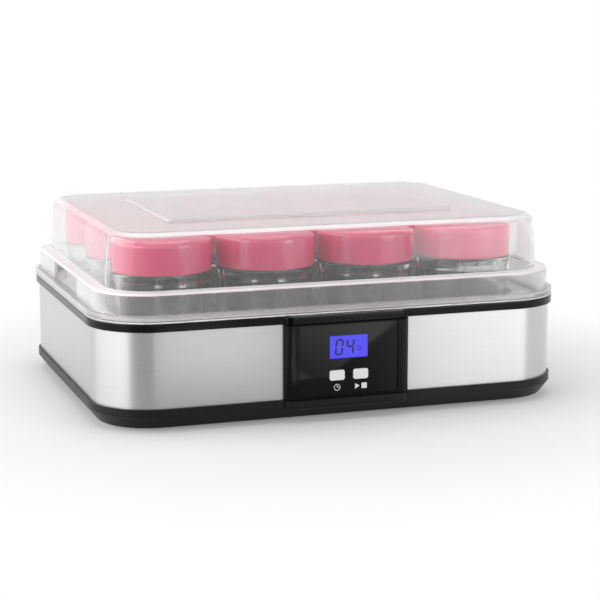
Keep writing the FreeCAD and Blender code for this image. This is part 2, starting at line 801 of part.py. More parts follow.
def lcd_glass():
    half_w = LCD_W / 2 - LCD_GAP
    half_h = LCD_H / 2 - LCD_GAP
    face_y = WINDOW_Y + LCD_SET
    rear_y = lcd_flange_y()
    face = block(-half_w, half_w, face_y, rear_y, LCD_Z - half_h, LCD_Z + half_h)
    wide = LCD_W / 2 + LCD_FLANGE
    tall = LCD_H / 2 + LCD_FLANGE
    flange = block(-wide, wide, rear_y, rear_y + LCD_FLANGE_T, LCD_Z - tall, LCD_Z + tall)
    return face.fuse(flange).removeSplitter()


def lcd_frame():
    """Open frame that holds the display off the control board."""
    y0 = lcd_flange_y() + LCD_FLANGE_T + PANEL_GAP
    wide = LCD_W / 2 + LCD_FLANGE
    tall = LCD_H / 2 + LCD_FLANGE
    outer = block(-wide, wide, y0, BOARD_Y, LCD_Z - tall, LCD_Z + tall)
    wide -= LCD_FRAME_WALL
    tall -= LCD_FRAME_WALL
    return outer.cut(block(-wide, wide, y0, BOARD_Y, LCD_Z - tall, LCD_Z + tall))


def button(x):
    """Key with a softened face, a flange behind the panel and a stem to its switch."""
    face_y = WINDOW_Y - BUTTON_PROUD
    flange_y = BACK_REAR_Y + BUTTON_GAP
    stem_y = flange_y + BUTTON_FLANGE_T
    key = upright(BUTTON_W, BUTTON_H, BUTTON_R, x, BUTTON_Z, face_y, flange_y)
    front = [edge for edge in key.Edges if edge.BoundBox.YMax < face_y + IN_PLANE]
    key = key.makeFillet(BUTTON_EDGE, front)
    width = BUTTON_W + 2 * BUTTON_FLANGE
    height = BUTTON_H + 2 * BUTTON_FLANGE
    flange = upright(width, height, BUTTON_R + BUTTON_FLANGE, x, BUTTON_Z, flange_y, stem_y)
    stem = rod(BUTTON_STEM_R, Vector(x, stem_y, BUTTON_Z), BACK, BUTTON_STEM_L)
    return key.fuse([flange, stem]).removeSplitter()


def control_board():
    half = BOARD_W / 2
    tall = BOARD_H / 2
    board = block(-half, half, BOARD_Y, BOARD_REAR_Y, BOARD_MID_Z - tall, BOARD_MID_Z + tall)
    holes = [
        rod(BOARD_SCREW_R + BOARD_HOLE_GAP, Vector(x, BOARD_Y, z), BACK, BOARD_T)
        for x, z in board_screw_places()
    ]
    return board.cut(holes)


def tact_switches():
    switches = []
    for x in button_places().values():
        half = SWITCH_W / 2
        body_y = BOARD_Y - SWITCH_T
        body = block(x - half, x + half, body_y, BOARD_Y, BUTTON_Z - half, BUTTON_Z + half)
        plunger = rod(PLUNGER_R, Vector(x, body_y - PLUNGER_L, BUTTON_Z), BACK, PLUNGER_L)
        switches.append(body.fuse(plunger).removeSplitter())
    return Part.Compound(switches)


def small_screw(seat, inward):
    """Pan-head screw whose head stands on seat and whose shank runs along inward."""
    head = rod(BOARD_HEAD_R, seat - inward * BOARD_HEAD_H, inward, BOARD_HEAD_H)
    return head.fuse(rod(BOARD_SCREW_R, seat, inward, BOARD_SCREW_L)).removeSplitter()


def board_screws():
    return Part.Compound(
        [small_screw(Vector(x, BOARD_REAR_Y, z), -BACK) for x, z in board_screw_places()]
    )


def power_board():
    half = POWER_W / 2
    board = block(-half, half, POWER_Y, POWER_Y + POWER_D, POWER_Z, POWER_TOP)
    holes = [
        rod(BOARD_SCREW_R + BOARD_HOLE_GAP, Vector(x, y, POWER_Z), UP, BOARD_T)
        for x, y in power_screw_places()
    ]
    return board.cut(holes)


def power_screws():
    return Part.Compound(
        [small_screw(Vector(x, y, POWER_TOP), -UP) for x, y in power_screw_places()]
    )


def on_power_board(size, at):
    """A block of that size, standing on the power board."""
    width, depth, height = size
    foot = power_point(at)
    return block(
        foot.x - width / 2,
        foot.x + width / 2,
        foot.y - depth / 2,
        foot.y + depth / 2,
        foot.z,
        foot.z + height,
    )


def relay():
    return on_power_board(RELAY_SIZE, RELAY_AT)


def capacitor():
    """Moulded film capacitor with rounded ends and top."""
    body = on_power_board(CAPACITOR_SIZE, CAPACITOR_AT)
    return body.makeFillet(CAPACITOR_ROUND, level_edges(body, POWER_TOP + CAPACITOR_SIZE[2]))


def terminal_block():
    body = on_power_board(TERMINAL_SIZE, TERMINAL_AT)
    entries = [rod(TERMINAL_ENTRY_R, bottom, UP, TERMINAL_ENTRY_DEEP) for bottom in lead_entries()]
    return body.cut(entries)


def panel_ribbon():
    """Flat cable out of the control board, bent down to the power board."""
    inner = RIBBON_BEND
    outer = RIBBON_BEND + RIBBON_T
    turn_y = POWER_Y + RIBBON_ON - inner
    turn_z = POWER_TOP + RIBBON_RISE - outer
    slant = math.sqrt(0.5)

    def on_arc(radius, share_y, share_z):
        return Vector(-RIBBON_W / 2, turn_y + radius * share_y, turn_z + radius * share_z)

    low = Vector(0, 0, POWER_TOP - turn_z)
    out = Vector(0, BOARD_REAR_Y - turn_y, 0)
    corners = [on_arc(outer, 0, 1), on_arc(outer, 1, 0), on_arc(inner, 1, 0), on_arc(inner, 0, 1)]
    edges = [
        Part.makeLine(corners[0] + out, corners[0]),
        Part.Arc(corners[0], on_arc(outer, slant, slant), corners[1]).toShape(),
        Part.makeLine(corners[1], corners[1] + low),
        Part.makeLine(corners[1] + low, corners[2] + low),
        Part.makeLine(corners[2] + low, corners[2]),
        Part.Arc(corners[2], on_arc(inner, slant, slant), corners[3]).toShape(),
        Part.makeLine(corners[3], corners[3] + out),
        Part.makeLine(corners[3] + out, corners[0] + out),
    ]
    return Part.Face(Part.Wire(edges)).extrude(RIGHT * RIBBON_W)


def cord_gland():
    """Rubber grommet, its waist in the band's hole and a flange on each side of the sheet."""
    outside = REAR_Y + GLAND_FLANGE_T
    inside = REAR_Y - SHEET - GLAND_FLANGE_T
    waist = rod(GLAND_R, Vector(0, inside, GLAND_Z), BACK, outside - inside)
    flanges = [
        rod(GLAND_FLANGE_R, Vector(0, y, GLAND_Z), BACK, GLAND_FLANGE_T) for y in (REAR_Y, inside)
    ]
    tail = rod(GLAND_TAIL_R, Vector(0, inside - GLAND_TAIL_L, GLAND_Z), BACK, GLAND_TAIL_L)
    whole = outside - inside + GLAND_TAIL_L
    bore = rod(GLAND_BORE_R, Vector(0, inside - GLAND_TAIL_L, GLAND_Z), BACK, whole)
    return waist.fuse(flanges + [tail]).cut(bore).removeSplitter()


def lid():
    """Clear shell in one piece: flange, skirt, step, tapered dome and a raised field on top."""
    skirt = prism(body_outline(LID_SKIRT_IN, SKIRT_Z), LID_SKIRT_H)
    skirt = skirt.makeFillet(LID_SKIRT_ROUND, level_edges(skirt, STEP_Z))
    dome = frustum(body_outline(LID_DOME_IN, STEP_Z), body_outline(DOME_TOP_IN, DOME_Z))
    dome = dome.makeFillet(LID_DOME_ROUND, level_edges(dome, DOME_Z))
    locate_in = RIM_IN + LID_LOCATE_GAP
    shell = prism(body_outline(-LID_FLANGE_OUT, RIM_TOP), LID_FLANGE_H).fuse(
        [
            skirt,
            dome,
            prism(rounded(FIELD_W, FIELD_D, FIELD_R, DOME_Z, BODY_Y), FIELD_H),
            prism(body_outline(locate_in, RIM_TOP - LID_LOCATE_H), LID_LOCATE_H),
        ]
    )
    rim_z = RIM_TOP + LID_WALL
    step_z = STEP_Z - LID_WALL
    roof_z = DOME_Z - LID_WALL
    well = frustum(
        body_outline(LID_DOME_IN + LID_WALL, step_z), body_outline(DOME_TOP_IN + LID_WALL, roof_z)
    )
    well = well.makeFillet(LID_DOME_ROUND - LID_WALL, level_edges(well, roof_z))
    field_w = FIELD_W - 2 * LID_WALL
    field_d = FIELD_D - 2 * LID_WALL
    mouth_z = RIM_TOP - LID_LOCATE_H
    shell = shell.cut(
        [
            prism(body_outline(locate_in + LID_WALL, mouth_z), rim_z - mouth_z),
            prism(body_outline(LID_SKIRT_IN + LID_WALL, rim_z), step_z - rim_z),
            well,
            prism(rounded(field_w, field_d, FIELD_R - LID_WALL, roof_z, BODY_Y), FIELD_H),
        ]
    )
    outer_x = BODY_W / 2 - LID_SKIRT_IN
    inner_x = outer_x - GRIP_DEEP
    half = GRIP_L / 2
    floor_z = SKIRT_Z - LID_WALL
    for side in (-1, 1):
        near, far = sorted((side * (inner_x - LID_WALL), side * outer_x))
        niche = block(near, far, BODY_Y - half - LID_WALL, BODY_Y + half + LID_WALL, floor_z, step_z)
        shell = shell.fuse(niche)
    for side in (-1, 1):
        near, far = sorted((side * inner_x, side * BODY_W / 2))
        shell = shell.cut(block(near, far, BODY_Y - half, BODY_Y + half, SKIRT_Z, step_z))
    return shell.removeSplitter()


def jar(place):
    """Thick glass jar: bevelled foot, straight wall, bead under the cap and a plain neck."""
    neck_low = JAR_H - NECK_H
    mouth_r = NECK_R - JAR_WALL
    profile = [
        (0, 0),
        (JAR_R - JAR_BEVEL, 0),
        (JAR_R, JAR_BEVEL),
        (JAR_R, neck_low - BEAD_H),
        (BEAD_R, neck_low),
        (NECK_R, neck_low),
        (NECK_R, JAR_H),
        (mouth_r, JAR_H),
        (mouth_r, JAR_FLOOR),
        (0, JAR_FLOOR),
    ]
    return revolved(profile, place)


def cap(place):
    """Screw cap with a bevelled top edge, its roof just over the jar's mouth."""
    low = CAP_LOW - SEAT_Z
    high = CAP_HIGH - SEAT_Z
    bore_r = CAP_R - CAP_WALL
    roof = high - CAP_TOP
    profile = [
        (0, roof),
        (bore_r, roof),
        (bore_r, low),
        (CAP_R, low),
        (CAP_R, high - CAP_BEVEL),
        (CAP_R - CAP_BEVEL, high),
        (0, high),
    ]
    return revolved(profile, place)


def build():
    nodes = {
        "base_tray": base_tray(),
        "foot_pads": foot_pads(),
        "steel_band": steel_band(),
        "top_rim": top_rim(),
        "base_screws": base_screws(),
        "inner_tub": inner_tub(),
        "heat_plate": heat_plate(),
        "heater_cord": heater_cord(),
        "heater_straps": heater_straps(),
        "lead_splices": lead_splices(),
        "heater_leads": heater_leads(),
        "thermal_cutoff": thermal_cutoff(),
        "cutoff_clip": cutoff_clip(),
        "temperature_sensor": temperature_sensor(),
        "sensor_clip": sensor_clip(),
        "sensor_lead": sensor_lead(),
        "control_panel": control_panel(),
        "panel_window": panel_window(),
        "lcd_glass": lcd_glass(),
        "lcd_frame": lcd_frame(),
        "control_board": control_board(),
        "tact_switches": tact_switches(),
        "board_screws": board_screws(),
        "power_board": power_board(),
        "power_screws": power_screws(),
        "relay": relay(),
        "capacitor": capacitor(),
        "terminal_block": terminal_block(),
        "panel_ribbon": panel_ribbon(),
        "cord_gland": cord_gland(),
        "lid": lid(),
    }
    for name, x in button_places().items():
        nodes[name] = button(x)
    for number, place in enumerate(jar_places(), start=1):
        nodes[f"jar_{number:02d}"] = jar(place)
        nodes[f"cap_{number:02d}"] = cap(place)
    return nodes


os.makedirs("parts", exist_ok=True)
for node, shape in build().items():
    shape.exportStep(f"parts/{node}.step")
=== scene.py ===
import math

import bmesh
import bpy
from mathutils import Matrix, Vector


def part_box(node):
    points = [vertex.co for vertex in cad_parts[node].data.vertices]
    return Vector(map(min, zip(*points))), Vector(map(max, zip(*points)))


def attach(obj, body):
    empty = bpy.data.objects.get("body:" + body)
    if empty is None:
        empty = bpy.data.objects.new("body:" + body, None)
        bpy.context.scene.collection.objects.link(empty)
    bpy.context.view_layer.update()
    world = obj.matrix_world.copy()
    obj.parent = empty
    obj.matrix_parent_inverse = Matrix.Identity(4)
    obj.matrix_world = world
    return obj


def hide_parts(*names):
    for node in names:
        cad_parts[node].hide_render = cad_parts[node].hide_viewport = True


# Looks of a yogurt maker: a clear stepped lid over twelve capped jars in a steel-banded body.
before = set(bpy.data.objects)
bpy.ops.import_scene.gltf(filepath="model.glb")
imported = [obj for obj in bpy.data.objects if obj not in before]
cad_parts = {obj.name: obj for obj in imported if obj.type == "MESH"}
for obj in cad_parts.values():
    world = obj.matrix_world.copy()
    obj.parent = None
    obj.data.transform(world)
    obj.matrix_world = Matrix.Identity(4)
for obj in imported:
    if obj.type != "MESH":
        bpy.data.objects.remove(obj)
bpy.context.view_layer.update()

MM = 0.001
MERGE = 1e-6

# Fineness of round shapes, in steps, and the angles in degrees over which an edge is sharp or is bevelled
CORNER_STEPS = 20
ROUND_STEPS = 7
LATHE_STEPS = 80
CIRCLE_STEPS = 40
BEVEL_STEPS = 3
SHARP = 35
SHARP_TURNED = 50
BEVELLED = 60

# Body outline, from the box of the steel band
band_low, band_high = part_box("steel_band")
BODY_X = band_high.x
BODY_Y = (band_low.y + band_high.y) / 2
BODY_D = (band_high.y - band_low.y) / 2
BODY_R = 42 * MM

# Lid, in insets from the body outline, heights from the top of the rim and angles in degrees from upright
lid_low, lid_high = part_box("lid")
rim_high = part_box("top_rim")[1]
RIM_TOP = rim_high.z
RIM_OUT = rim_high.x - BODY_X
RIM_ROUND = 2 * MM
LID_WALL = 2 * MM
FLANGE_BACK = 0.05 * MM
FLANGE_OUT = RIM_OUT - FLANGE_BACK
FLANGE_H = 3.9 * MM
LIP_GAP = 0.08 * MM
LIP_ANGLES = (58, 48, 38, 28, 18)
LOCATE_IN = 5.2 * MM
SKIRT_IN = 1.8 * MM
SKIRT_H = 14.8 * MM
SKIRT_ROUND = 1.8 * MM
DOME_IN = 10.5 * MM
DOME_TOP_IN = 12.7 * MM
DOME_ROUND = 7.5 * MM
FIELD_X = 108 * MM
FIELD_D = 65 * MM
FIELD_R = 4 * MM
FIELD_H = 2 * MM
BROW_ROUND = 0.9 * FIELD_H
BROW_REACH = 2 * FIELD_H
GRIP_HALF = 38.5 * MM
GRIP_DEEP = 9 * MM
LID_EDGE = 0.5 * MM
SKIRT_Z = RIM_TOP + FLANGE_H
STEP_Z = SKIRT_Z + SKIRT_H
DOME_Z = lid_high.z - FIELD_H

# Haze of the lid's zones, which is the plastic's own haze on the skirt and roof, while the flange, step,
# shoulder and brow are made milkier as painted highlights for the white bands along its edges; ends sets
# the clarity towards the two ends, a painted sheen; and the shares of the normal, upward or sideways, that
# tell the zones apart
LID_HAZE_AND_HIGHLIGHTS = {
    "lid_flange": {"clarity": 0.75, "roughness": 0.1},
    "lid_skirt": {"clarity": 0.9, "roughness": 0.12, "ends": 0.7},
    "lid_step": {"clarity": 0.35, "roughness": 0.2, "tone": 1},
    "lid_shoulder": {"clarity": 0.45, "roughness": 0.1, "tone": 1, "ends": 0.62},
    "lid_roof": {"clarity": 0.89, "roughness": 0.14},
    "lid_brow": {"clarity": 0.48, "roughness": 0.2},
}
LEDGE_UP = 0.3
SHOULDER_UP = (0.6, 0.96)
FLAT_UP = 0.97
# Sideways share of the normal over which the painted sheen at the two ends comes in
END_FROM = 0.55
END_FULL = 0.95

# Jars and caps, in radii and in heights above the jar's foot
BEAD_R = 35.2 * MM
JAR_R = 33.5 * MM
JAR_FOOT_ROUND = 4.6 * MM
JAR_PUNT_R = 26 * MM
JAR_PUNT_H = 1.2 * MM
JAR_PUNT_ROUND = 2 * MM
BEAD_LOW = 61.3 * MM
BEAD_HIGH = 65.8 * MM
BEAD_ROUND = 1.9 * MM
SHOULDER_LOW = 57.5 * MM
SHOULDER_ROUND = 3 * MM
NECK_R = 32.6 * MM
NECK_ROUND = 0.5 * MM
MOUTH_R = 29.6 * MM
MOUTH_ROUND = 1.3 * MM
JAR_INSIDE_ROUND = 7 * MM
JAR_FLOOR = 4.5 * MM
CAP_WALL = 2.2 * MM
CAP_TOP = 2.4 * MM
CAP_ROUND = 4.4 * MM
CAP_EDGE = 0.7 * MM

# Seams of the console, at the foot and the head of its panel, where a black unglossed line is painted in as
# the shadow in the joint
panel_low, panel_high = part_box("control_panel")
SHADED_SEAM_HEIGHTS = (panel_low.z, panel_high.z)
SEAM_X = panel_high.x
SEAM = 0.8 * MM

# Upright slot strips in the console's head, one over each pillar, painted black as the shade of slots that
# are not cut
SLOT_IN = 3.4 * MM
SLOT_X = panel_high.x - SLOT_IN
SLOT_W = 3.2 * MM

# Marks on the display and under the keys
PRINT = 0.08 * MM
DIGIT_W = 6.0 * MM
DIGIT_H = 11.6 * MM
DIGIT_STROKE = 1.45 * MM
DIGIT_GAP = 0.14 * MM
DIGIT_SLANT = 0.09
DIGIT_X = (-7.0 * MM, 1.0 * MM)
DIGITS_SHOWN = (0, 4)
DIGIT_BARS = {0: "abcdef", 4: "bcfg"}
HOUR_X = 7.4 * MM
HOUR_DROP = 1.4 * MM
HOUR_R = 1.6 * MM
ICON_DROP = 3.4 * MM
ICON_R = 2.3 * MM
ICON_STROKE = 0.42 * MM
HAND_LONG = 0.62
HAND_SHORT = 0.5
SIGN_HALF = 0.85 * ICON_R
SIGN_APART = 1.35 * SIGN_HALF
SIGN_BACK = 0.7 * SIGN_HALF

# Finishes: the range that noise keeps to, and the sizes and amounts of the drifts in plastic and in metal
NOISE_LOW = 0.3
NOISE_HIGH = 0.7
GRAIN = 0.4 * MM
TONE_PATCH = 18 * MM
GLOSS_PATCH = 6 * MM
GLOSS_DRIFT = 0.12
ROLLED_LINE = 0.3 * MM
ROLLED_DEPTH = 0.004 * MM
ROLLED_STRETCH = (1, 60, 1)
METAL_TONES = (0.9, 1.08)
METAL_GLOSS = (0.85, 1.2)
BRUSH_LINE = 0.12 * MM
BRUSH_STRETCH = (260, 260, 1)
BRUSH_BROAD = 1.1 * MM
BROAD_STRETCH = (90, 90, 1)
BRUSH_DEPTH = 0.0008 * MM
CLEAR_GLOSS = (0.8, 1.2)
CLEAR_PATCH = 25 * MM
CLEAR_WAVE = 60 * MM
CLEAR_DEPTH = 0.01 * MM
GLASS_PATCH = 20 * MM
GLASS_WAVE = 14 * MM
GLASS_STRETCH = (1, 1, 1.6)
GLASS_DEPTH = 0.12 * MM
BACKLIGHT = (28, 28, 40)
CELL = 0.3 * MM
CELL_DEPTH = 0.003 * MM

# Camera, as calibrated on the photograph
CAMERA_AT = Vector((-0.41245, -1.23674, 0.29957))
CAMERA_AZIMUTH = math.radians(-18.89)
CAMERA_ELEVATION = math.radians(10.395)
CAMERA_LENS = 105.24
CAMERA_SENSOR = 36

# Studio: strengths of the white surroundings, as they light the scene and as glossy faces mirror them
AMBIENT = 0.3
MIRRORED = 0.88
MIRRORED_AHEAD = 1.1
FLOOR_NEAR = 0.2
FLOOR_AHEAD = 0.3
FADE_FROM = 0.14
FADE_FULL = 0.4
AHEAD_WAY = (-0.276, -0.961, 0)
AHEAD_FROM = 0.74
AHEAD_FULL = 0.9
FLOOR_REACH = 4
FLOOR_PATCH = 0.4
LIGHT_AIM = (0, 0, 0.06)
PANELS = {
    "top_panel": {"at": (0, 0.1, 1.5), "width": 1.6, "height": 1.4, "power": 12},
    "left_panel": {"at": (-1.5, 0.05, 0.55), "width": 2.6, "height": 1, "power": 21},
    "right_panel": {"at": (1.05, -1.41, 0.5), "width": 0.95, "height": 1, "power": 7.5},
}

# White card on the floor ahead, which only glossy faces mirror, and its tones as (x, strength)
CARD = [(0.03, -0.26), (0.176, -0.47), (-0.16, -0.47), (-0.16, -0.26)]
CARD_LIFT = 0.5 * MM
CARD_TONES = ((-0.12, 1.3), (0, 2.1), (0.02, 0.55), (0.13, 1.8))


class Station:
    """A place on a rounded outline: its point, the way out from it, and how far into a grip it lies."""

    def __init__(self, point, outward, level):
        self.point = point
        self.outward = outward
        self.level = level

    def at(self, inset, z):
        flat = self.point - self.outward * inset
        return Vector((flat.x, flat.y, z))


def outline(half_x, half_d, radius, end_breaks):
    """Stations anticlockwise round a rectangle with round corners and with breaks in its two ends."""
    stations = []
    middle = Vector((0, BODY_Y))
    for quarter in range(4):
        turn = quarter * math.pi / 2
        out = Vector((math.cos(turn), math.sin(turn)))
        along = Vector((-out.y, out.x))
        at_end = quarter % 2 == 0
        reach, half = (half_x, half_d) if at_end else (half_d, half_x)
        for offset, level in end_breaks if at_end else ():
            stations.append(Station(middle + out * reach + along * offset, out, level))
        corner = middle + out * (reach - radius) + along * (half - radius)
        for step in range(CORNER_STEPS + 1):
            angle = turn + step / CORNER_STEPS * math.pi / 2
            way = Vector((math.cos(angle), math.sin(angle)))
            stations.append(Station(corner + way * radius, way, 0))
    return stations


def ring(stations, inset, z, grip_inset=None, grip_level=1):
    """Points round the outline; stations that lie deep enough in a grip take its inset instead."""
    points = []
    for station in stations:
        in_grip = grip_inset is not None and station.level >= grip_level
        points.append(station.at(grip_inset if in_grip else inset, z))
    return points


def eased(profile):
    """Points of an open profile of (across, up, radius), with an arc at each corner that has a radius."""
    points = []
    for index, (across, up, radius) in enumerate(profile):
        corner = Vector((across, up))
        if radius == 0:
            points.append(corner)
            continue
        back = (Vector(profile[index - 1][:2]) - corner).normalized()
        onward = (Vector(profile[index + 1][:2]) - corner).normalized()
        half = back.angle(onward) / 2
        centre = corner + (back + onward).normalized() * (radius / math.sin(half))
        start = corner + back * (radius / math.tan(half)) - centre
        end = corner + onward * (radius / math.tan(half)) - centre
        first = math.atan2(start.y, start.x)
        sweep = math.atan2(end.y, end.x) - first
        sweep = (sweep + math.pi) % (2 * math.pi) - math.pi
        for step in range(ROUND_STEPS + 1):
            angle = first + sweep * step / ROUND_STEPS
            points.append(centre + Vector((math.cos(angle), math.sin(angle))) * radius)
    return points


def loft(rings, closed_ends=False):
    """Vertices and faces of a skin over rings that have the same number of points."""
    count = len(rings[0])
    points = [point for one in rings for point in one]
    faces = []
    for low in range(len(rings) - 1):
        for here in range(count):
            there = (here + 1) % count
            base, top = low * count, (low + 1) * count
            faces.append((base + here, base + there, top + there, top + here))
    if closed_ends:
        faces.append(tuple(range(count)))
        faces.append(tuple(range((len(rings) - 1) * count, len(rings) * count)))
    return points, faces


def turned(profile):
    """Skin of a round piece about the Z axis, from points of (radius, height)."""
    rings = []
    for radius, z in profile:
        angles = [2 * math.pi * step / LATHE_STEPS for step in range(LATHE_STEPS)]
        rings.append([Vector((radius * math.cos(a), radius * math.sin(a), z)) for a in angles])
    return loft(rings)


def slab(points, y, depth):
    """Skin of a flat plate that stands across the front: an outline of (x, z), from y back by depth."""
    front = [Vector((x, y, z)) for x, z in points]
    rear = [Vector((x, y + depth, z)) for x, z in points]
    return loft([front, rear], closed_ends=True)


def joined(skins):
    """Several skins as one."""
    points = []
    faces = []
    for more_points, more_faces in skins:
        start = len(points)
        points += more_points
        faces += [tuple(start + corner for corner in face) for face in more_faces]
    return points, faces


def tidy_mesh(name, skin, look, sharp=SHARP):
    """A clean mesh from a skin: doubles merged, normals outward, smooth but for its sharp edges."""
    mesh = bpy.data.meshes.new(name)
    mesh.from_pydata(skin[0], [], skin[1])
    work = bmesh.new()
    work.from_mesh(mesh)
    bmesh.ops.remove_doubles(work, verts=work.verts, dist=MERGE)
    bmesh.ops.dissolve_degenerate(work, edges=work.edges, dist=MERGE)
    bmesh.ops.recalc_face_normals(work, faces=work.faces)
    work.to_mesh(mesh)
    work.free()
    mesh.shade_smooth()
    mesh.set_sharp_from_angle(angle=math.radians(sharp))
    mesh.materials.append(look)
    return mesh


def piece(name, mesh, body, replaced=(), at=(0, 0, 0)):
    """An object of the model, on its body."""
    made = bpy.data.objects.new(name, mesh)
    made.location = at
    bpy.context.scene.collection.objects.link(made)
    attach(made, body)
    if replaced:
        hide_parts(*replaced)
    return made


def soften(made, width):
    """Rounds the sharp edges of a piece and keeps its flat faces flat."""
    bevel = made.modifiers.new("edges", "BEVEL")
    bevel.width = width
    bevel.segments = BEVEL_STEPS
    bevel.limit_method = "ANGLE"
    bevel.angle_limit = math.radians(BEVELLED)
    bevel.harden_normals = True
    weighted = made.modifiers.new("flats", "WEIGHTED_NORMAL")
    weighted.keep_sharp = True


class Nodes:
    """A node tree that is written as calls."""

    def __init__(self, tree):
        self.tree = tree

    def add(self, kind, **values):
        node = self.tree.nodes.new("ShaderNode" + kind)
        for socket, value in values.items():
            node.inputs[socket.replace("_", " ")].default_value = value
        return node

    def link(self, output, socket):
        self.tree.links.new(output, socket)

    def number(self, operation, *values):
        """Result of a sum on sockets or plain numbers."""
        node = self.add("Math")
        node.operation = operation
        for socket, value in zip(node.inputs, values):
            if isinstance(value, (int, float)):
                socket.default_value = value
            else:
                self.link(value, socket)
        return node.outputs["Value"]

    def vector(self, operation, place, *values):
        """Result of a vector sum on a socket and plain vectors, as a number or as a vector."""
        node = self.add("VectorMath")
        node.operation = operation
        self.link(place, node.inputs[0])
        for socket, value in zip(node.inputs[1:], values):
            socket.default_value = value
        return node.outputs["Value" if operation in ("LENGTH", "DOT_PRODUCT") else "Vector"]

    def glow(self, kind, strength):
        """White light of a strength, as an emission or as a background."""
        return self.add(kind, Color=(1, 1, 1, 1), Strength=strength).outputs[0]

    def mixed(self, share, first, second):
        """One shader fading into another."""
        node = self.add("MixShader")
        for output, socket in zip((share, first, second), node.inputs):
            self.link(output, socket)
        return node.outputs["Shader"]

    def lies_ahead(self, place):
        """How far a place lies in the end of the studio that is in front of the object."""
        ahead = self.vector("DOT_PRODUCT", self.vector("NORMALIZE", place), AHEAD_WAY)
        fade = self.add("MapRange", From_Min=AHEAD_FROM, From_Max=AHEAD_FULL)
        fade.interpolation_type = "SMOOTHSTEP"
        self.link(ahead, fade.inputs["Value"])
        return fade.outputs["Result"]


class Look(Nodes):
    """A procedural material, grown from one Principled shader."""

    def __init__(self, name, colour, roughness, **more):
        self.material = bpy.data.materials.new(name)
        self.material.use_nodes = True
        super().__init__(self.material.node_tree)
        self.shader = self.tree.nodes["Principled BSDF"]
        self.output = self.tree.nodes["Material Output"]
        self.set("Base Color", (*colour, 1))
        self.set("Roughness", roughness)
        for socket, value in more.items():
            self.set(socket.replace("_", " "), value)

    def set(self, socket, value):
        self.shader.inputs[socket].default_value = value

    def noise(self, size, stretch=(1, 1, 1), detail=3):
        """Noise whose features are about size across, longer along an axis whose stretch is larger."""
        place = self.add("TexCoord")
        mapping = self.add("Mapping", Scale=[1 / (size * part) for part in stretch])
        texture = self.add("TexNoise", Scale=1, Detail=detail)
        self.link(place.outputs["Object"], mapping.inputs["Vector"])
        self.link(mapping.outputs["Vector"], texture.inputs["Vector"])
        return texture.outputs["Fac"]

    def tint(self, noise, low, high):
        """Lets the base colour drift between two colours."""
        ramp = self.add("ValToRGB")
        ends = ramp.color_ramp.elements
        ends[0].position, ends[1].position = NOISE_LOW, NOISE_HIGH
        ends[0].color, ends[1].color = (*low, 1), (*high, 1)
        self.link(noise, ramp.inputs["Fac"])
        self.link(ramp.outputs["Color"], self.shader.inputs["Base Color"])

    def gloss(self, noise, low, high):
        """Lets the roughness drift between two values."""
        spread = self.add("MapRange", From_Min=NOISE_LOW, From_Max=NOISE_HIGH, To_Min=low, To_Max=high)
        self.link(noise, spread.inputs["Value"])
        self.link(spread.outputs["Result"], self.shader.inputs["Roughness"])

    def relief(self, noise, depth, strength=1):
        """Raises the surface by up to depth, over what relief it has."""
        bump = self.add("Bump", Strength=strength, Distance=depth)
        socket = self.shader.inputs["Normal"]
        if socket.links:
            self.link(socket.links[0].from_socket, bump.inputs["Normal"])
        self.link(noise, bump.inputs["Height"])
        self.link(bump.outputs["Normal"], socket)

    def place(self):
        """Sockets of the place on the object: X, Y and Z."""
        parts = self.add("SeparateXYZ")
        self.link(self.add("TexCoord").outputs["Object"], parts.inputs["Vector"])
        return parts.outputs

    def paint_shade(self, distance):
        """Paints shade: takes the gloss off where a distance is under half the painted line's width, so the
        black surface shows black.
        """
        socket = self.shader.inputs["Specular Tint"]
        fade = self.add("MapRange", From_Min=SEAM / 2, From_Max=SEAM)
        gloss = fade.outputs["Result"]
        if socket.links:
            gloss = self.number("MULTIPLY", gloss, socket.links[0].from_socket)
        self.link(distance, fade.inputs["Value"])
        self.link(gloss, socket)

    def seam(self, height):
        """A painted shadow line: an unglossed black level line across the console, where two pieces meet.
        """
        place = self.place()
        away = self.number("ABSOLUTE", self.number("SUBTRACT", place["Z"], height))
        beside = self.number("SUBTRACT", self.number("ABSOLUTE", place["X"]), SEAM_X)
        self.paint_shade(self.number("MAXIMUM", away, beside))

    def slots(self):
        """Painted shade of a slot: an unglossed black upright strip over each pillar, in front of the
        panel's back and above its head.
        """
        place = self.place()
        aside = self.number("SUBTRACT", self.number("ABSOLUTE", place["X"]), SLOT_X)
        aside = self.number("SUBTRACT", self.number("ABSOLUTE", aside), (SLOT_W - SEAM) / 2)
        below = self.number("SUBTRACT", panel_high.z, place["Z"])
        behind = self.number("SUBTRACT", place["Y"], panel_high.y)
        self.paint_shade(self.number("MAXIMUM", aside, self.number("MAXIMUM", below, behind)))

    def painted_sheen_at_ends(self, clarity, ends):
        """Paints a sheen: lets the clarity change on faces that look towards the left or right end,
        standing in for the side panels' reflection.
        """
        normal = self.add("TexCoord").outputs["Normal"]
        level = self.vector("NORMALIZE", self.vector("MULTIPLY", normal, (1, 1, 0)))
        facing = self.add("SeparateXYZ")
        change = self.add("MapRange", From_Min=END_FROM, From_Max=END_FULL, To_Min=clarity, To_Max=ends)
        self.link(level, facing.inputs["Vector"])
        self.link(self.number("ABSOLUTE", facing.outputs["X"]), change.inputs["Value"])
        self.link(change.outputs["Result"], self.shader.inputs["Transmission Weight"])

    def clear(self):
        """Lets lamps shine through, as through clear glass or plastic."""
        lamp = self.add("LightPath").outputs["Is Shadow Ray"]
        through = self.add("BsdfTransparent").outputs["BSDF"]
        surface = self.mixed(lamp, self.shader.outputs["BSDF"], through)
        self.link(surface, self.output.inputs["Surface"])


def scaled(colour, share):
    """A colour made darker or lighter."""
    return tuple(min(1, part * share) for part in colour)


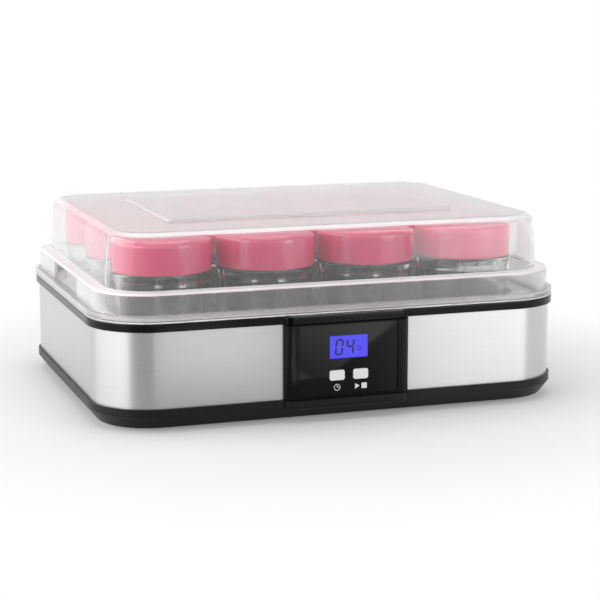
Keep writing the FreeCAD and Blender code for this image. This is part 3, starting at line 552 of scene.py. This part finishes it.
def moulded(name, colour, roughness, depth=0.006 * MM, drift=0.12, shaded_seam_heights=(), slots=False, **more):
    """Moulded plastic or rubber: a fine grain, a drift of tone and gloss, and painted shade as black
    unglossed joint lines and slot strips.
    """
    look = Look(name, colour, roughness, **more)
    slow = look.noise(TONE_PATCH, detail=4)
    look.tint(slow, scaled(colour, 1 - drift), scaled(colour, 1 + drift))
    look.gloss(look.noise(GLOSS_PATCH), roughness * (1 - GLOSS_DRIFT), roughness * (1 + GLOSS_DRIFT))
    look.relief(look.noise(GRAIN, detail=2), depth)
    # Painted shade: each joint line has its gloss taken off so that it shows black
    for height in shaded_seam_heights:
        look.seam(height)
    # Painted shade: a black slot strip over each pillar, where no slot is cut
    if slots:
        look.slots()
    return look.material


def metal(name, colour, roughness, stretch=(1, 1, 1)):
    """Bare metal with rolled lines along the axes that are stretched."""
    look = Look(name, colour, roughness, Metallic=1)
    lines = look.noise(ROLLED_LINE, stretch, detail=4)
    look.tint(lines, *(scaled(colour, share) for share in METAL_TONES))
    look.gloss(lines, *(roughness * share for share in METAL_GLOSS))
    look.relief(lines, ROLLED_DEPTH)
    return look.material


def brushed_steel():
    """Sheet brushed along its length, so that its gloss spreads up and down."""
    steel = (0.6, 0.6, 0.6)
    look = Look("brushed_steel", steel, 0.3, Metallic=1, Anisotropic=0.85, Anisotropic_Rotation=0.25)
    lines = look.noise(BRUSH_LINE, BRUSH_STRETCH, detail=5)
    broad = look.noise(BRUSH_BROAD, BROAD_STRETCH, detail=3)
    look.tint(lines, scaled(steel, 0.95), scaled(steel, 1.05))
    look.gloss(broad, 0.28, 0.33)
    look.relief(lines, BRUSH_DEPTH)
    tangent = look.add("Tangent")
    tangent.direction_type = "RADIAL"
    tangent.axis = "Z"
    look.link(tangent.outputs["Tangent"], look.shader.inputs["Tangent"])
    return look.material


def clear_plastic(name, clarity, roughness, tone=0.9, ends=None, bend=1.49):
    """Clear moulded plastic, milky where it isn't clear, with a clarity of its own towards the two ends as
    a painted sheen.
    """
    look = Look(
        name, (tone, tone, tone), roughness, IOR=bend, Transmission_Weight=clarity,
        Sheen_Weight=0.18, Sheen_Roughness=0.35,
    )
    look.gloss(look.noise(CLEAR_PATCH, detail=3), *(roughness * share for share in CLEAR_GLOSS))
    look.relief(look.noise(CLEAR_WAVE, detail=1), CLEAR_DEPTH)
    if ends is not None:
        look.painted_sheen_at_ends(clarity, ends)
    look.clear()
    return look.material


def jar_glass():
    """Pressed glass, slightly wavy."""
    look = Look("jar_glass", (0.985, 0.99, 0.985), 0.01, IOR=1.33, Transmission_Weight=1)
    look.gloss(look.noise(GLASS_PATCH, detail=2), 0.04, 0.09)
    look.relief(look.noise(GLASS_WAVE, GLASS_STRETCH, detail=1), GLASS_DEPTH, strength=0.5)
    look.clear()
    return look.material


def display_blue():
    """Backlit display: brightest in the middle, with the fine grid of its cell."""
    look = Look("display_blue", (0.02, 0.02, 0.2), 0.25, Emission_Strength=0.78)
    low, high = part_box("lcd_glass")
    from_middle = look.vector("SUBTRACT", look.add("TexCoord").outputs["Object"], (low + high) / 2)
    spread = look.add("TexGradient")
    spread.gradient_type = "SPHERICAL"
    ramp = look.add("ValToRGB")
    ramp.color_ramp.elements[0].color = (0.055, 0.045, 0.78, 1)
    ramp.color_ramp.elements[1].color = (0.085, 0.075, 1, 1)
    look.link(look.vector("MULTIPLY", from_middle, BACKLIGHT), spread.inputs["Vector"])
    look.link(spread.outputs["Fac"], ramp.inputs["Fac"])
    look.link(ramp.outputs["Color"], look.shader.inputs["Emission Color"])
    look.relief(look.noise(CELL), CELL_DEPTH)
    return look.material


def all_looks():
    """The material of every slot."""
    return {
        # Both blacks carry painted shade: black unglossed lines along the console's joints
        "satin_black": moulded(
            "satin_black", (0.008, 0.008, 0.008), 0.36, depth=0.01 * MM, shaded_seam_heights=SHADED_SEAM_HEIGHTS,
            Specular_IOR_Level=0.25,
        ),
        # Gloss black also carries painted shade in two upright slot strips over the pillars
        "gloss_black": moulded(
            "gloss_black", (0.004, 0.004, 0.004), 0.12, depth=0.002 * MM, shaded_seam_heights=SHADED_SEAM_HEIGHTS, slots=True,
            Specular_IOR_Level=0.2,
        ),
        "window_black": moulded(
            "window_black", (0.003, 0.003, 0.003), 0.05, depth=0.0004 * MM, Specular_IOR_Level=0.33,
        ),
        "brushed_steel": brushed_steel(),
        "zinc_steel": metal("zinc_steel", (0.52, 0.52, 0.5), 0.35),
        "grey_plastic": moulded("grey_plastic", (0.6, 0.6, 0.6), 0.34),
        "sheet_aluminium": metal("sheet_aluminium", (0.75, 0.75, 0.76), 0.36, ROLLED_STRETCH),
        "cord_silicone": moulded("cord_silicone", (0.55, 0.09, 0.05), 0.5),
        "crimp_brass": metal("crimp_brass", (0.72, 0.5, 0.2), 0.35),
        "lead_insulation": moulded("lead_insulation", (0.5, 0.5, 0.48), 0.45),
        "foot_rubber": moulded("foot_rubber", (0.025, 0.025, 0.025), 0.7, depth=0.02 * MM),
        "display_blue": display_blue(),
        "white_plastic": moulded("white_plastic", (0.86, 0.86, 0.86), 0.35, drift=0.03),
        "board_green": moulded("board_green", (0.03, 0.16, 0.06), 0.4),
        "relay_blue": moulded("relay_blue", (0.03, 0.12, 0.4), 0.4),
        "capacitor_yellow": moulded("capacitor_yellow", (0.7, 0.5, 0.06), 0.4),
        "terminal_green": moulded("terminal_green", (0.04, 0.25, 0.08), 0.4),
        # The lid turns milkier towards the two ends, a painted sheen for the side panels' reflection
        "lid_clear": clear_plastic("lid_clear", 0.96, 0.03, ends=0.88, bend=1.42),
        "jar_glass": jar_glass(),
        "cap_pink": moulded(
            "cap_pink", (0.7, 0.027, 0.135), 0.36, depth=0.004 * MM, drift=0.04,
            Coat_Weight=1, Coat_Roughness=0.1, Coat_IOR=1.75,
        ),
    }


def dress_solids(looks):
    """Gives every node of the frame the look of its slot."""
    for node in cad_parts.values():
        for slot in node.material_slots:
            slot.material = looks[slot.material.name.split(".")[0]]


def rim_lip():
    """Profile of the thin lip that follows the rim's round, from its low edge up to the rim's top."""
    centre_in, centre_z = RIM_ROUND - RIM_OUT, RIM_TOP - RIM_ROUND
    over = RIM_ROUND + LIP_GAP
    turns = [math.radians(angle) for angle in LIP_ANGLES]
    lip = [(centre_in - over * math.sin(turn), centre_z + over * math.cos(turn)) for turn in turns]
    return lip + [(centre_in, RIM_TOP)]


def lid_rings():
    """Rings of a closed shell: from the raised field down the outside, round the rib and up the inside."""
    wall = LID_WALL
    deep = GRIP_HALF + wall
    breaks = [(-deep, 0), (-deep, 1), (-GRIP_HALF, 1), (-GRIP_HALF, 2)]
    breaks += [(0, 2)] + [(-offset, level) for offset, level in reversed(breaks)]
    body = outline(BODY_X, BODY_D, BODY_R, breaks)
    field = outline(FIELD_X, FIELD_D, FIELD_R, breaks)
    field_inside = outline(FIELD_X - wall, FIELD_D - wall, FIELD_R - wall, breaks)
    grip_in = SKIRT_IN + GRIP_DEEP
    crown_in = DOME_TOP_IN + 2 * DOME_ROUND
    brow = eased([
        (BROW_REACH, lid_high.z, 0),
        (0, lid_high.z, BROW_ROUND),
        (0, DOME_Z, 0),
    ])
    outside = eased([
        (crown_in, DOME_Z, 0),
        (DOME_TOP_IN, DOME_Z, DOME_ROUND),
        (DOME_IN, STEP_Z, LID_EDGE),
        (SKIRT_IN, STEP_Z, SKIRT_ROUND),
        (SKIRT_IN, STEP_Z - wall, 0),
    ])
    inside = eased([
        (DOME_IN + wall, STEP_Z - wall, 0),
        (DOME_TOP_IN + wall, DOME_Z - wall, DOME_ROUND - wall),
        (crown_in, DOME_Z - wall, 0),
    ])
    lip = rim_lip()
    rings = [ring(field, inset, z) for inset, z in brow]
    rings += [ring(body, inset, z) for inset, z in outside]
    rings += [
        ring(body, SKIRT_IN, STEP_Z - wall, grip_in, 2),
        ring(body, SKIRT_IN, SKIRT_Z, grip_in, 2),
        ring(body, SKIRT_IN, SKIRT_Z),
        ring(body, -FLANGE_OUT, SKIRT_Z),
        ring(body, -FLANGE_OUT, lip[0][1]),
    ]
    rings += [ring(body, inset, z) for inset, z in lip]
    rings += [
        ring(body, LOCATE_IN, RIM_TOP),
        ring(body, LOCATE_IN, lid_low.z),
        ring(body, LOCATE_IN + wall, lid_low.z),
        ring(body, LOCATE_IN + wall, RIM_TOP + wall),
        ring(body, SKIRT_IN + wall, RIM_TOP + wall, grip_in + wall, 1),
        ring(body, SKIRT_IN + wall, STEP_Z - wall, grip_in + wall, 1),
    ]
    rings += [ring(body, inset, z) for inset, z in inside]
    rings += [ring(field_inside, 0, DOME_Z - wall), ring(field_inside, 0, lid_high.z - wall)]
    return rings


def lid_zone(face, lip_low):
    """Name of the zone that a face of the lid wears, the milkier edge zones being painted highlights; its
    flange starts at the lip's low edge.
    """
    x, y, z = face.center
    y -= BODY_Y
    up = face.normal.z
    outward = face.normal.x * x + face.normal.y * y > 0
    near_field = abs(x) < FIELD_X + LID_WALL and abs(y) < FIELD_D + LID_WALL
    if lip_low < z < SKIRT_Z + LID_EDGE:
        return "lid_flange"
    if SKIRT_Z < z < STEP_Z - LID_WALL:
        return "lid_skirt"
    if abs(z - STEP_Z) < SKIRT_ROUND and up > LEDGE_UP:
        return "lid_step"
    if outward and DOME_Z - DOME_ROUND < z < DOME_Z and SHOULDER_UP[0] < up < SHOULDER_UP[1]:
        return "lid_shoulder"
    if near_field and DOME_Z - LID_WALL < z < lid_high.z and abs(up) < FLAT_UP:
        return "lid_brow"
    if z > DOME_Z - 2 * LID_WALL and abs(up) > FLAT_UP:
        return "lid_roof"
    return "lid_clear"


def lid(looks):
    """Clear lid in one piece, with a haze for each of its zones, milkier at its edges as painted
    highlights.
    """
    mesh = tidy_mesh("clear_lid", loft(lid_rings(), closed_ends=True), looks["lid_clear"])
    # Painted highlights: the flange, step, shoulder and brow take milkier plastic that shows as white bands
    # on the edges
    for name, haze_and_highlight in LID_HAZE_AND_HIGHLIGHTS.items():
        mesh.materials.append(clear_plastic(name, **haze_and_highlight))
    zones = ["lid_clear", *LID_HAZE_AND_HIGHLIGHTS]
    lip_low = rim_lip()[0][1]
    for face in mesh.polygons:
        face.material_index = zones.index(lid_zone(face, lip_low))
    made = piece("clear_lid", mesh, "lid", ["lid"])
    soften(made, LID_EDGE)


def jar_mesh(look):
    """Glass jar about the Z axis, standing on its foot."""
    low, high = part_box("jar_01")
    height = high.z - low.z
    glass = eased([
        (0, JAR_PUNT_H, 0),
        (JAR_PUNT_R, JAR_PUNT_H / 2, JAR_PUNT_ROUND),
        (JAR_R - JAR_FOOT_ROUND / 2, 0, JAR_PUNT_H),
        (JAR_R, JAR_FOOT_ROUND, JAR_FOOT_ROUND),
        (JAR_R, SHOULDER_LOW, SHOULDER_ROUND),
        (BEAD_R, BEAD_LOW, BEAD_ROUND),
        (BEAD_R, BEAD_HIGH, BEAD_ROUND),
        (NECK_R, BEAD_HIGH, NECK_ROUND),
        (NECK_R, height, MOUTH_ROUND),
        (MOUTH_R, height, MOUTH_ROUND),
        (MOUTH_R, JAR_FLOOR, JAR_INSIDE_ROUND),
        (0, JAR_FLOOR, 0),
    ])
    return tidy_mesh("glass_jar", turned(glass), look, SHARP_TURNED)


def cap_mesh(look):
    """Screw cap about the Z axis, at its height above the jar's foot."""
    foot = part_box("jar_01")[0].z
    cap_low, cap_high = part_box("cap_01")
    low, high = cap_low.z - foot, cap_high.z - foot
    radius = (cap_high.x - cap_low.x) / 2
    bore = radius - CAP_WALL
    cover = eased([
        (0, high, 0),
        (radius, high, CAP_ROUND),
        (radius, low, CAP_EDGE),
        (bore, low, CAP_EDGE),
        (bore, high - CAP_TOP, CAP_EDGE),
        (0, high - CAP_TOP, 0),
    ])
    return tidy_mesh("screw_cap", turned(cover), look, SHARP_TURNED)


def jars_and_caps(looks):
    """Twelve glass jars and their screw caps, each on its own body."""
    glass = jar_mesh(looks["jar_glass"])
    cover = cap_mesh(looks["cap_pink"])
    for jar in sorted(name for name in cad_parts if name.startswith("jar_")):
        cap = jar.replace("jar", "cap")
        low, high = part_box(jar)
        foot = ((low.x + high.x) / 2, (low.y + high.y) / 2, low.z)
        piece("glass_" + jar, glass, jar, [jar], foot)
        piece("screw_" + cap, cover, cap, [cap], foot)


def bar(start, end, stroke):
    """Outline of a stroke between two points, pointed at both ends."""
    start, end = Vector(start), Vector(end)
    along = (end - start).normalized() * stroke / 2
    across = Vector((-along.y, along.x))
    return [
        start, start + along - across, end - along - across,
        end, end - along + across, start + along + across,
    ]


def digit_bars(number, x, z):
    """Outlines of the lit bars of one seven-bar digit, leaning a little to the right."""
    wide = DIGIT_W / 2 - DIGIT_STROKE / 2
    tall = DIGIT_H / 2 - DIGIT_STROKE / 2
    ends = {
        "a": ((-wide, tall), (wide, tall)),
        "b": ((wide, tall), (wide, 0)),
        "c": ((wide, 0), (wide, -tall)),
        "d": ((-wide, -tall), (wide, -tall)),
        "e": ((-wide, 0), (-wide, -tall)),
        "f": ((-wide, tall), (-wide, 0)),
        "g": ((-wide, 0), (wide, 0)),
    }
    outlines = []
    for letter in DIGIT_BARS[number]:
        first, last = (Vector(end) for end in ends[letter])
        gap = (last - first).normalized() * DIGIT_GAP
        shape = bar(first + gap, last - gap, DIGIT_STROKE)
        outlines.append([(x + point.x + DIGIT_SLANT * point.y, z + point.y) for point in shape])
    return outlines


def circle_points(radius, x, z):
    """Points round a circle on the front, as (x, z)."""
    angles = [2 * math.pi * step / CIRCLE_STEPS for step in range(CIRCLE_STEPS)]
    return [(x + radius * math.cos(angle), z + radius * math.sin(angle)) for angle in angles]


def hoop(radius, stroke, x, z, y):
    """Skin of a thin printed circle on the face at y."""
    outer = circle_points(radius, x, z)
    inner = circle_points(radius - stroke, x, z)
    sides = []
    for points, depth in ((outer, 0), (outer, -PRINT), (inner, -PRINT), (inner, 0), (outer, 0)):
        sides.append([Vector((px, y + depth, pz)) for px, pz in points])
    return loft(sides)


def clock_face(radius, stroke, x, z, y):
    """Generic clock sign: a circle and two hands."""
    hands = [((x, z), (x, z + HAND_LONG * radius)), ((x, z), (x + HAND_SHORT * radius, z))]
    strokes = [slab(bar(start, end, stroke), y - PRINT, PRINT) for start, end in hands]
    return joined([hoop(radius, stroke, x, z, y)] + strokes)


def clock_sign(x, z, y):
    """Generic sign under the time key."""
    return clock_face(ICON_R, ICON_STROKE, x, z, y)


def start_stop_sign(x, z, y):
    """Generic start and stop signs: a triangle and a square side by side."""
    half = SIGN_HALF
    left, right = x - SIGN_APART, x + SIGN_APART
    triangle = [(left - SIGN_BACK, z - half), (left + half, z), (left - SIGN_BACK, z + half)]
    turns = [(-1, -1), (1, -1), (1, 1), (-1, 1)]
    square = [(right + across * half, z + up * half) for across, up in turns]
    return joined([slab(points, y - PRINT, PRINT) for points in (triangle, square)])


def display_marks(looks):
    """Dark digits on the display and pale signs under the two keys."""
    ink = moulded("display_ink", (0.012, 0.012, 0.12), 0.5)
    low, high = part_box("lcd_glass")
    z = (low.z + high.z) / 2
    shapes = []
    for number, x in zip(DIGITS_SHOWN, DIGIT_X):
        shapes += [slab(points, low.y - PRINT, PRINT) for points in digit_bars(number, x, z)]
    shapes.append(clock_face(HOUR_R, ICON_STROKE, HOUR_X, z - HOUR_DROP, low.y))
    mesh = tidy_mesh("display_digits", joined(shapes), ink)
    piece("display_digits", mesh, "housing")
    window_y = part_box("panel_window")[0].y
    signs = []
    for key, draw in (("time_button", clock_sign), ("start_button", start_stop_sign)):
        low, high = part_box(key)
        signs.append(draw((low.x + high.x) / 2, low.z - ICON_DROP, window_y))
    mesh = tidy_mesh("key_signs", joined(signs), looks["white_plastic"])
    piece("key_signs", mesh, "housing")


def softbox(name, at, width, height, power):
    """A plain white panel of light that faces the object."""
    lamp = bpy.data.lights.new(name, "AREA")
    lamp.shape = "RECTANGLE"
    lamp.size = width
    lamp.size_y = height
    lamp.energy = power
    made = bpy.data.objects.new(name, lamp)
    made.location = at
    made.rotation_mode = "QUATERNION"
    made.rotation_quaternion = (Vector(LIGHT_AIM) - Vector(at)).to_track_quat("-Z", "Y")
    bpy.context.scene.collection.objects.link(made)


def white_world():
    """White surroundings: full for what sees them, softer as light, of two strengths in mirror images."""
    world = bpy.data.worlds.new("studio")
    bpy.context.scene.world = world
    world.use_nodes = True
    world.node_tree.nodes.clear()
    sky = Nodes(world.node_tree)
    light = sky.add("LightPath").outputs
    way = sky.add("TexCoord").outputs["Generated"]
    seen = sky.number("MAXIMUM", light["Is Camera Ray"], light["Is Transmission Ray"])
    seen = sky.number("MAXIMUM", seen, light["Is Glossy Ray"])
    seen = sky.number("MULTIPLY", seen, sky.number("LESS_THAN", light["Diffuse Depth"], 1))
    behind, ahead = (sky.glow("Background", strength) for strength in (MIRRORED, MIRRORED_AHEAD))
    mirrored = sky.mixed(sky.lies_ahead(way), behind, ahead)
    shown = sky.mixed(light["Is Glossy Ray"], sky.glow("Background", 1), mirrored)
    surface = sky.mixed(seen, sky.glow("Background", AMBIENT), shown)
    sky.link(surface, sky.add("OutputWorld").inputs["Surface"])


def pale_floor():
    """Floor that fades to white with distance, and is dim ahead in mirror images."""
    look = Look("pale_floor", (0.84, 0.84, 0.84), 0.9, Specular_IOR_Level=0)
    look.tint(look.noise(FLOOR_PATCH), (0.83, 0.83, 0.83), (0.85, 0.85, 0.85))
    place = look.add("TexCoord").outputs["Object"]
    fade = look.add("MapRange", From_Min=FADE_FROM, From_Max=FADE_FULL, To_Min=FLOOR_NEAR, To_Max=1)
    fade.interpolation_type = "SMOOTHSTEP"
    look.link(look.vector("LENGTH", place), fade.inputs["Value"])
    pale = look.mixed(fade.outputs["Result"], look.shader.outputs["BSDF"], look.glow("Emission", 1))
    dark = look.number("MULTIPLY", look.lies_ahead(place), look.add("LightPath").outputs["Is Glossy Ray"])
    surface = look.mixed(dark, pale, look.glow("Emission", FLOOR_AHEAD))
    look.link(surface, look.output.inputs["Surface"])
    return look.material


def card_look():
    """White that fades from tone to tone across the card."""
    look = Look("white_card", (0.8, 0.8, 0.8), 0.9)
    start, end = CARD_TONES[0][0], CARD_TONES[-1][0]
    across = look.add("MapRange", From_Min=start, From_Max=end)
    fade = look.add("ValToRGB")
    brightest = max(tone for x, tone in CARD_TONES)
    steps = fade.color_ramp.elements
    for x, tone in CARD_TONES[1:-1]:
        steps.new((x - start) / (end - start))
    for step, (x, tone) in zip(steps, CARD_TONES):
        step.color = (*(3 * [tone / brightest]), 1)
    glow = look.add("Emission", Strength=brightest)
    look.link(look.place()["X"], across.inputs["Value"])
    look.link(across.outputs["Result"], fade.inputs["Fac"])
    look.link(fade.outputs["Color"], glow.inputs["Color"])
    look.link(glow.outputs["Emission"], look.output.inputs["Surface"])
    return look.material


def fill_card():
    """White card that lies ahead of the object and shows only in glossy faces."""
    mesh = bpy.data.meshes.new("card")
    mesh.from_pydata([(x, y, CARD_LIFT) for x, y in CARD], [], [(0, 1, 2, 3)])
    mesh.materials.append(card_look())
    card = bpy.data.objects.new("card", mesh)
    card.visible_camera = False
    card.visible_diffuse = False
    card.visible_transmission = False
    card.visible_shadow = False
    bpy.context.scene.collection.objects.link(card)


def studio():
    """Pale floor, white surroundings, white card and soft panels."""
    white_world()
    reach = FLOOR_REACH
    corners = [(-reach, -reach, 0), (reach, -reach, 0), (reach, reach, 0), (-reach, reach, 0)]
    mesh = bpy.data.meshes.new("floor")
    mesh.from_pydata(corners, [], [(0, 1, 2, 3)])
    mesh.materials.append(pale_floor())
    floor = bpy.data.objects.new("floor", mesh)
    bpy.context.scene.collection.objects.link(floor)

    fill_card()
    for name, panel in PANELS.items():
        softbox(name, **panel)


def photo_camera():
    """Camera that stands where the photograph was taken from."""
    camera = bpy.data.cameras.new("camera")
    camera.lens = CAMERA_LENS
    camera.sensor_width = CAMERA_SENSOR
    made = bpy.data.objects.new("camera", camera)
    level = math.cos(CAMERA_ELEVATION)
    back = Vector((
        math.sin(CAMERA_AZIMUTH) * level,
        -math.cos(CAMERA_AZIMUTH) * level,
        math.sin(CAMERA_ELEVATION),
    ))
    made.location = CAMERA_AT
    made.rotation_mode = "QUATERNION"
    made.rotation_quaternion = (-back).to_track_quat("-Z", "Y")
    bpy.context.scene.collection.objects.link(made)
    bpy.context.scene.camera = made


looks = all_looks()
dress_solids(looks)
lid(looks)
jars_and_caps(looks)
display_marks(looks)
studio()
photo_camera()
bpy.context.scene.view_settings.view_transform = "Standard"
